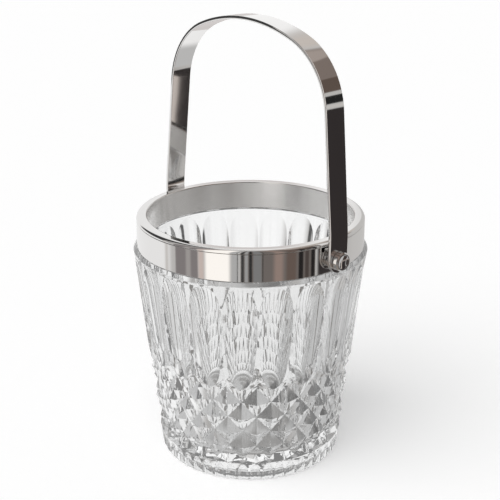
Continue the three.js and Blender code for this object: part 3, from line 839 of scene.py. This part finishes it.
camera_data = bpy.data.cameras.new("camera")
camera_data.lens, camera_data.sensor_width = FOCAL, SENSOR
camera_data.shift_x = SHIFT_PIXELS / PICTURE
camera = bpy.data.objects.new("camera", camera_data)
bpy.context.scene.collection.objects.link(camera)
camera.location = Vector(AIM) + DISTANCE * towards
turn = (-towards).to_track_quat("-Z", "Y").to_matrix().to_4x4() @ Matrix.Rotation(ROLL, 4, "Z")
camera.rotation_euler = turn.to_euler()
bpy.context.scene.camera = camera
print("camera:", tuple(round(v, 3) for v in camera.location))

# %% [markdown]
# ## Floor and world
# A white floor under strong lamps would clip, and lose the soft shadow. So the floor is lit plainly
# and adds a small glow of its own, which only shows it and lights nothing. The world does the same:
# it is white where it is seen, and lights the bucket with a fifth of that. What mirrors and glass
# show comes from the screens further on, so the floor is hidden from their rays.


# %% Floor
def seen(finish):
    """1 on rays from the camera, from a mirror and from inside glass, and 0 on rays that carry light."""
    camera_ray, glossy, through = [
        finish.ray(name) for name in ("Is Camera Ray", "Is Glossy Ray", "Is Transmission Ray")]
    return (camera_ray + glossy + through).clamp()


FLOOR_HALF, FLOOR_TONE, FLOOR_GLOW, WHITE = 4.0, rgba(0.8), 0.31, rgba(1)
floor_mesh = bpy.data.meshes.new("floor")
corners = [(-1, -1), (1, -1), (1, 1), (-1, 1)]
floor_mesh.from_pydata([(FLOOR_HALF * x, FLOOR_HALF * y, 0) for x, y in corners], [], [(0, 1, 2, 3)])
floor = bpy.data.objects.new("floor", floor_mesh)
bpy.context.scene.collection.objects.link(floor)
paper = Finish(bpy.data.materials.new("paper_floor"))
lit = paper.node("ShaderNodeBsdfDiffuse", {}, {"Color": FLOOR_TONE})
glow = paper.node("ShaderNodeEmission", {}, {"Color": WHITE, "Strength": seen(paper) * FLOOR_GLOW})
floor_mesh.materials.append(paper.end(paper.node("ShaderNodeAddShader", {}, [lit, glow])))
floor.visible_glossy = floor.visible_transmission = False
print("floor:", 2 * FLOOR_HALF, "m on each side")

# %% World
WORLD_LIGHT = 0.2
world = bpy.data.worlds.new("studio")
bpy.context.scene.world = world
sky = Finish(world)
strength = WORLD_LIGHT + seen(sky) * (1.0 - WORLD_LIGHT)
sky.end(sky.node("ShaderNodeBackground", {}, {"Color": WHITE, "Strength": strength}))
print("world:", world.name, "lights with", WORLD_LIGHT)

# %% [markdown]
# ## What the metal sees
# A mirror has no colour of its own: the collar is white, grey and near black by turns because of
# what stands round it. A product photographer sets up white cards and black flags for that. Real
# cards in the scene would also light the floor, so they are patches of tone on a round screen that
# only mirrored rays see. Angles go round from the camera, positive to its right. A card lies over
# those above it in the table.

# %% Cards for the metal
# heights under the sheet, near the dome's top and past it, and distances at the middle and past the wall
UNDER, OVER, PAST_DOME = -1.0, 0.9, 1.2
FROM_MIDDLE, PAST_WALL = -1.0, 1.0
WALL_CARDS = (
    # from, to (degrees), low, high (metres), edge softness (degrees), colour
    (-240, -150, UNDER, OVER, 15, 1.0),
    (150, 240, UNDER, OVER, 15, 1.0),
    (-170, -74, UNDER, OVER, 8, 0.90),
    (-128, -74, 0.25, OVER, 6, 0.05),
    (165, 195, UNDER, 0.44, 10, (0.68, 0.65, 0.64)),
    (-195, -165, UNDER, 0.44, 10, (0.68, 0.65, 0.64)),
    (100, 168, UNDER, OVER, 14, (0.58, 0.57, 0.56)),
    (-86, -78, UNDER, OVER, 4, (0.62, 0.60, 0.58)),
    (-72, -46, UNDER, OVER, 2, (0.24, 0.22, 0.22)),
    (-61, -53, UNDER, OVER, 3, (0.38, 0.36, 0.35)),
    (-48, -40, UNDER, OVER, 3, (0.62, 0.53, 0.49)),
    (-42, -16, UNDER, OVER, 4, (1.15, 1.11, 1.06)),
    (-18, -9, UNDER, OVER, 3, 0.46),
    (-11.8, -10.6, UNDER, OVER, 0.5, 0.06),
    (-9, 60, UNDER, OVER, 1, (0.17, 0.15, 0.14)),
    (-8.5, -5.2, UNDER, OVER, 1, 0.045),
    (-5.4, -1.6, UNDER, OVER, 1, 0.36),
    (-1.7, 1.9, UNDER, OVER, 1, 0.03),
    (2, 10, UNDER, OVER, 1, 0.22),
    (10, 11.2, UNDER, OVER, 0.5, 0.03),
    (18, 31, UNDER, OVER, 5, (0.31, 0.235, 0.205)),
    (30, 42, UNDER, OVER, 3, (0.14, 0.105, 0.09)),
    (42, 48, UNDER, OVER, 1.5, (0.02, 0.018, 0.018)),
    (48, 54, UNDER, OVER, 2, (0.075, 0.06, 0.055)),
    (54, 60, UNDER, OVER, 2, (0.02, 0.018, 0.018)),
    (60, 100, 0.04, 0.33, 4, (0.035, 0.03, 0.03)),
    (60, 100, 0.33, 0.36, 4, (0.6, 0.58, 0.56)),
    (60, 100, 0.36, 0.43, 4, 0.02),
    (84, 90.8, UNDER, 0.2, 0.3, (0.62, 0.56, 0.52)),
    (125, 165, 0.45, OVER, 15, (0.62, 0.57, 0.53)),
    (40, 130, 0.45, PAST_DOME, 10, (0.12, 0.09, 0.075)),
    (40, 130, 0.56, PAST_DOME, 10, (0.22, 0.18, 0.16)),
    (40, 130, 0.70, PAST_DOME, 10, (0.40, 0.345, 0.315)),
    (-105, 100, UNDER, 0.045, 15, (0.29, 0.25, 0.225)),
)
FLOOR_CARDS = (
    # from, to (degrees), inner, outer (metres from the middle), edge softness (degrees), colour
    (30, 150, 0.088, PAST_WALL, 20, 0.55),
    (-130, -60, 0.21, PAST_WALL, 15, 0.45),
    (-65, 60, 0.088, PAST_WALL, 20, (0.26, 0.23, 0.205)),
    (62, 88, 0.28, 0.46, 3, (0.06, 0.045, 0.04)),
)
print("cards for the metal, on wall and sheet:", len(WALL_CARDS), len(FLOOR_CARDS))

# %% [markdown]
# ## What the glass sees
# Cut glass bends its view many times, so each facet picks a small patch from all round. White all
# round would leave the cuts without outlines, and the metal's black flags would make them too dark.
# So the glass gets a screen of its own, which only refracted rays see. It has white and pale cards
# with narrow grey flags between them, a grey dome, and rings and sectors of grey under the bucket.
# The grey disc under the foot and the grey to its right are painted shadow: the bucket's own shadow
# on the floor, which the glass sees on this sheet in place of the real floor.

# %% Cards for the glass
GLASS_WALL_CARDS = (
    # from, to (degrees), low, high (metres), edge softness (degrees), colour
    (-240, -150, UNDER, OVER, 15, 1.0),
    (150, 240, UNDER, OVER, 15, 1.0),
    (-170, -74, UNDER, OVER, 8, 0.90),
    (100, 168, UNDER, OVER, 14, (0.58, 0.57, 0.56)),
    (-72, -50, UNDER, OVER, 3, 0.22),
    (-44, -14, UNDER, OVER, 4, (1.0, 0.99, 0.98)),
    (20, 44, UNDER, OVER, 4, (0.20, 0.19, 0.18)),
    (60, 84, UNDER, OVER, 4, (0.26, 0.25, 0.24)),
    (-240, 240, 0.5, PAST_DOME, 1, 0.25),
    (-138, -131, UNDER, 0.5, 2, (0.30, 0.29, 0.28)),
    (-116, -109, UNDER, 0.5, 2, (0.24, 0.23, 0.22)),
    (-94, -88, UNDER, 0.5, 2, (0.24, 0.23, 0.22)),
    (90, 96, UNDER, 0.5, 2, (0.20, 0.19, 0.18)),
    (112, 119, UNDER, 0.5, 2, (0.24, 0.23, 0.22)),
    (133, 140, UNDER, 0.5, 2, (0.30, 0.29, 0.28)),
    (-159, -153, UNDER, 0.12, 2, 0.08),
    (153, 159, UNDER, 0.12, 2, 0.08),
)
GLASS_FLOOR_CARDS_AND_SHADOW = (
    # from, to (degrees), inner, outer (metres from the middle), edge softness (degrees), colour
    # painted shadow: grey to the right of the foot, where the key's shadow falls on the floor
    (30, 150, 0.088, PAST_WALL, 20, 0.55),
    (-130, -60, 0.21, PAST_WALL, 15, 0.72),
    (-65, 60, 0.088, PAST_WALL, 20, (0.45, 0.44, 0.43)),
    (-154, -146, 0.14, PAST_WALL, 2, (0.22, 0.21, 0.20)),
    (-116, -109, 0.14, PAST_WALL, 2, (0.24, 0.23, 0.22)),
    (-86, -80, 0.14, PAST_WALL, 2, (0.24, 0.23, 0.22)),
    (78, 84, 0.14, PAST_WALL, 2, (0.18, 0.17, 0.16)),
    (108, 115, 0.14, PAST_WALL, 2, (0.20, 0.19, 0.18)),
    (146, 154, 0.14, PAST_WALL, 2, (0.22, 0.21, 0.20)),
    # painted shadow: a grey disc where the bucket's shadow lies under its foot
    (-240, 240, FROM_MIDDLE, 0.088, 1, (0.33, 0.325, 0.32)),
    (-240, 240, 0.060, 0.075, 1, 0.80),
    (-240, 240, 0.028, 0.045, 1, 0.60),
    # painted light and shade under the foot: paler on the lit left, dark on the shadowed right
    (-165, -5, FROM_MIDDLE, 0.088, 45, 0.58),
    (30, 140, FROM_MIDDLE, 0.075, 35, 0.15),
)
print("cards for the glass, on wall and sheet:", len(GLASS_WALL_CARDS), len(GLASS_FLOOR_CARDS_AND_SHADOW))

# %% [markdown]
# ## The screens
# Each is a drum with a dome over it and a sheet under it, wide enough to stand well clear of the bail.
# Its cards could be planes, but then each would need its own place and turn. As windows in angle and
# height, or angle and distance, they are a formula of the place on the screen and have soft edges.

# %% Round screens, in metres
SCREEN_RADIUS, SCREEN_WALL, SCREEN_FLOOR = 0.45, 0.5, -0.0005
DOME_TOP, DOME_STEPS, SCREEN_STEPS = 89, 16, 96
CARD_EDGE, SHEET_EDGE = 0.01, 0.004
WALL_TONE, SHEET_TONE = rgba((0.55, 0.54, 0.53)), rgba(0.96)


def pinned(cards, tone, table, around, along):
    """Lays the cards of a table over a tone: each is a window in angle and in one more measure."""
    for start, stop, low, high, soft, colour in table:
        over = around.between(start, start + soft) * (1 - around.between(stop - soft, stop))
        over = over * along.between(low, low + CARD_EDGE) * (1 - along.between(high - CARD_EDGE, high))
        tone = cards.mix_colour(over, tone, rgba(colour))
    return tone


def screen_tone(cards, wall_cards, floor_cards):
    """Angle is atan2(aside, ahead) as the camera has them. The wall's cards go by height, the sheet's
    by the distance from the middle."""
    x, y, z = cards.parts(cards.spot())
    ahead, aside = x * front.x + y * front.y, x * right.x + y * right.y
    around = aside.maths("ARCTAN2", aside, ahead) * (180 / math.pi)
    wall = pinned(cards, WALL_TONE, wall_cards, around, z)
    sheet = pinned(cards, SHEET_TONE, floor_cards, around, (x * x + y * y) ** 0.5)
    return cards.mix_colour(z.between(0.0, SHEET_EDGE), sheet, wall)


def card_screen(name, wall_cards, floor_cards):
    """A drum under a dome, shown by its cards alone. It lights nothing and throws no shadow."""
    dome = arc((0, SCREEN_WALL), SCREEN_RADIUS, 0, DOME_TOP, DOME_STEPS)
    profile = outline((0, SCREEN_FLOOR), (SCREEN_RADIUS, SCREEN_FLOOR), dome)
    screen = add_mesh(name, *weld(*lathe(profile, SCREEN_STEPS)))
    cards = Finish(bpy.data.materials.new(name))
    tone = screen_tone(cards, wall_cards, floor_cards)
    screen.data.materials.append(cards.end(cards.node("ShaderNodeEmission", {}, {"Color": tone})))
    screen.visible_camera = screen.visible_diffuse = False
    screen.visible_shadow = screen.visible_volume_scatter = False
    return screen


metal_screen = card_screen("metal_screen", WALL_CARDS, FLOOR_CARDS)
metal_screen.visible_transmission = False
glass_screen = card_screen("glass_screen", GLASS_WALL_CARDS, GLASS_FLOOR_CARDS_AND_SHADOW)
glass_screen.visible_glossy = False
print("screens:", metal_screen.name, glass_screen.name)

# %% [markdown]
# ## Key light
# An area lamp would light the near side more than the far one. A sun is even, and one that is 60
# degrees wide, above and to the left of the camera, throws the broad soft shadow to the right. Any
# lamp would show as a bright spot in each facet, so mirrored and refracted rays don't see this one.

# %% The key
KEY_STRENGTH, KEY_ANGLE = 2.5, 60
KEY_ASIDE, KEY_AHEAD, KEY_UP = -1.0, 0.9, 1.9
key_data = bpy.data.lights.new("key", "SUN")
key_data.energy, key_data.angle = KEY_STRENGTH, math.radians(KEY_ANGLE)
key = bpy.data.objects.new("key", key_data)
bpy.context.scene.collection.objects.link(key)
key.location = KEY_ASIDE * right + KEY_AHEAD * front + Vector((0, 0, KEY_UP))
key.rotation_euler = key.location.to_track_quat("Z", "Y").to_euler()
key.visible_glossy = key.visible_transmission = False
bpy.context.scene.view_settings.view_transform = "Standard"
print("key:", key_data.energy, "strong and", KEY_ANGLE, "degrees wide")
